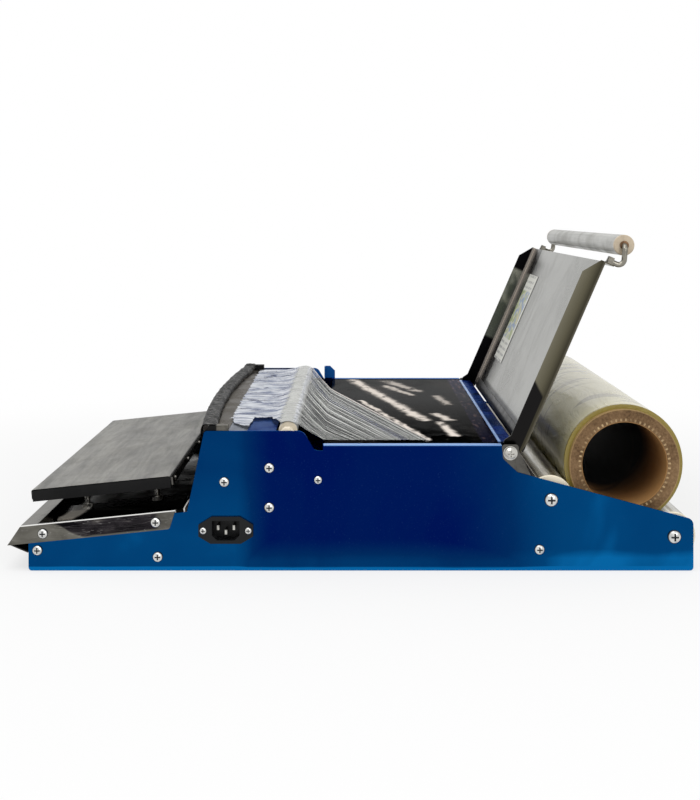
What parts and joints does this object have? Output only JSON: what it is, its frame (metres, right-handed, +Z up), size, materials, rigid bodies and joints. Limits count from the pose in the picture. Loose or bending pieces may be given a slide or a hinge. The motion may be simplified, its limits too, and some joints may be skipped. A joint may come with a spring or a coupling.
{
  "type": "cling film wrapping machine",
  "caption": "Tabletop film wrapping machine with a heated plate, hot wire cutter, polished lid and a film roll on rear rollers.",
  "frame": {"origin": "on the base's underside, midway between the side panels and 287.5 mm behind the panels' front edge", "axes": "+X to the operator's right, -Y towards the operator, +Z up"},
  "size_m": [0.507, 0.612, 0.2973],
  "materials": {
    "blue_paint": "glossy metallic blue",
    "polished_steel": "mirror polished stainless steel",
    "bright_steel": "bright zinc plated",
    "plate_aluminium": "cast, machined flat",
    "heater_mica": "flat mica element",
    "black_cloth": "coated glass cloth",
    "insulator": "dark laminate",
    "roller_plastic": "white, satin",
    "cream_plastic": "moulded, cream",
    "cardboard": "spirally wound brown cardboard",
    "wound_film": "many layers of clear film, yellowish",
    "loose_film": "clear wrinkled film",
    "sticker": "bare white sticker",
    "black_plastic": "moulded, black",
    "brass": "nickel plated",
    "lamp_red": "red lens",
    "dial_grey": "anodised",
    "transformer_iron": "varnished laminations"
  },
  "bodies": {
    "frame": {"side_panel_right": "blue_paint", "side_panel_left": "blue_paint", "base_pan": "blue_paint", "tower_rear_cover": "blue_paint", "rear_cross_panel": "blue_paint", "front_tray": "polished_steel", "tower_front_cover": "polished_steel", "table_top": "polished_steel", "table_front_wall": "bright_steel", "plate_rails": "bright_steel", "plate_studs": "bright_steel", "plate_stud_nuts": "bright_steel", "plate_bottom_cover": "bright_steel", "cloth_clamp": "bright_steel", "front_roller_axle": "bright_steel", "hinge_brackets": "bright_steel", "hinge_spacers": "bright_steel", "hinge_bolts": "bright_steel", "rear_roller_a_axle": "bright_steel", "rear_roller_b_axle": "bright_steel", "panel_screws": "bright_steel", "table_screws": "bright_steel", "tray_screws": "bright_steel", "roller_screws": "bright_steel", "power_inlet_screws": "bright_steel", "cutter_wire": "bright_steel", "hot_plate": "plate_aluminium", "plate_heater": "heater_mica", "hot_plate_cover": "black_cloth", "cutter_sleeve": "black_cloth", "cutter_bar": "insulator", "cutter_end_blocks": "insulator", "front_roller_bearings": "cream_plastic", "terminal_block": "cream_plastic", "film_web": "loose_film", "power_inlet_body": "black_plastic", "power_switch_housing": "black_plastic", "thermostat_body": "black_plastic", "power_inlet_pins": "brass", "pilot_lamp": "lamp_red", "thermostat_dial_plate": "dial_grey", "transformer": "transformer_iron"},
    "lid": {"lid_plate": "polished_steel", "lid_sticker": "sticker", "lid_bail": "bright_steel", "bail_clips": "bright_steel"},
    "lid_roller": {"lid_roller_tube": "roller_plastic", "lid_roller_caps": "cream_plastic"},
    "front_roller": {"front_roller_tube": "roller_plastic", "front_roller_caps": "cream_plastic"},
    "rear_roller_a": {"rear_roller_a_tube": "bright_steel", "rear_roller_a_caps": "cream_plastic"},
    "rear_roller_b": {"rear_roller_b_tube": "bright_steel", "rear_roller_b_caps": "cream_plastic"},
    "film_roll": {"film_core": "cardboard", "film_winding": "wound_film"},
    "thermostat_knob": {"thermostat_knob": "black_plastic"},
    "power_switch_rocker": {"power_switch_rocker": "black_plastic"}
  },
  "joints": [
    {"name": "lid_hinge", "type": "hinge", "parent": "frame", "child": "lid", "pos_m": [0, 0.1402, 0.104], "axis": [1, 0, 0], "range_deg": [0, 110]},
    {"name": "lid_roller_spin", "type": "hinge", "parent": "lid", "child": "lid_roller", "pos_m": [0, 0.24751, 0.28786], "axis": [1, 0, 0], "continuous": true},
    {"name": "front_roller_spin", "type": "hinge", "parent": "frame", "child": "front_roller", "pos_m": [0, -0.0585, 0.12], "axis": [1, 0, 0], "continuous": true},
    {"name": "film_roll_spin", "type": "hinge", "parent": "frame", "child": "film_roll", "pos_m": [0, 0.24435, 0.09126], "axis": [1, 0, 0], "continuous": true},
    {"name": "rear_roller_a_spin", "type": "hinge", "parent": "frame", "child": "rear_roller_a", "pos_m": [0, 0.1763, 0.0627], "axis": [1, 0, 0], "continuous": true},
    {"name": "rear_roller_b_spin", "type": "hinge", "parent": "frame", "child": "rear_roller_b", "pos_m": [0, 0.2855, 0.03], "axis": [1, 0, 0], "continuous": true},
    {"name": "thermostat_turn", "type": "hinge", "parent": "frame", "child": "thermostat_knob", "pos_m": [0, 0.0125, 0.054], "axis": [1, 0, 0], "range_deg": [0, 270]},
    {"name": "power_switch_tilt", "type": "hinge", "parent": "frame", "child": "power_switch_rocker", "pos_m": [-0.2435, -0.1095, 0.038], "axis": [0, 1, 0], "range_deg": [-20, 0]}
  ],
  "couplings": [
    {"joint": "rear_roller_a_spin", "follows": "film_roll_spin", "ratio": -2.675},
    {"joint": "rear_roller_b_spin", "follows": "film_roll_spin", "ratio": -2.675}
  ]
}
